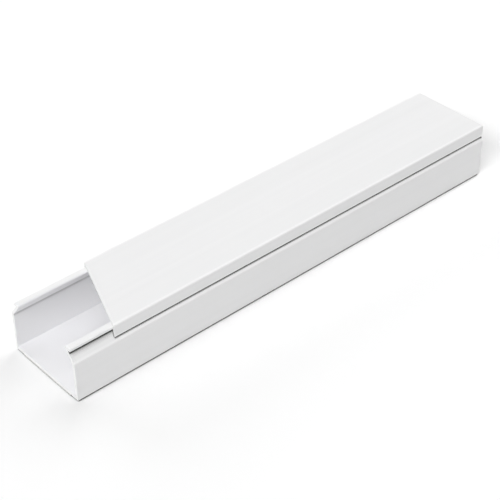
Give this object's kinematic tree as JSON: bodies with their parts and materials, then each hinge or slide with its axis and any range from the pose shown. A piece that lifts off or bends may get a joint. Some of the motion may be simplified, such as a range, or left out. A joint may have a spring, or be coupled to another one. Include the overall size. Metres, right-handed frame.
{
  "type": "adhesive cable trunking",
  "caption": "Length of white plastic cable trunking: a channel with shoulders and out-turned lips, a clip-on lid with a slanted end, and an adhesive strip along its back.",
  "frame": {"origin": "middle of the footprint, on the face of the release liner", "axes": "+X along the length, away from the lid's slanted end; +Y across; +Z from the adhesive back up to the lid"},
  "size_m": [0.224, 0.04, 0.0256],
  "materials": {
    "white_pvc": "satin, with faint lines along the extrusion",
    "foam_tape": "soft closed-cell foam",
    "liner_paper": "smooth coated paper"
  },
  "bodies": {
    "base": {"base": "white_pvc", "adhesive_tape": "foam_tape", "release_liner": "liner_paper"},
    "lid": {"lid": "white_pvc"}
  },
  "joints": [
    {"name": "lid_slide", "type": "slide", "parent": "base", "child": "lid", "axis": [1, 0, 0], "range_m": [-0.0185, 0.15]}
  ]
}
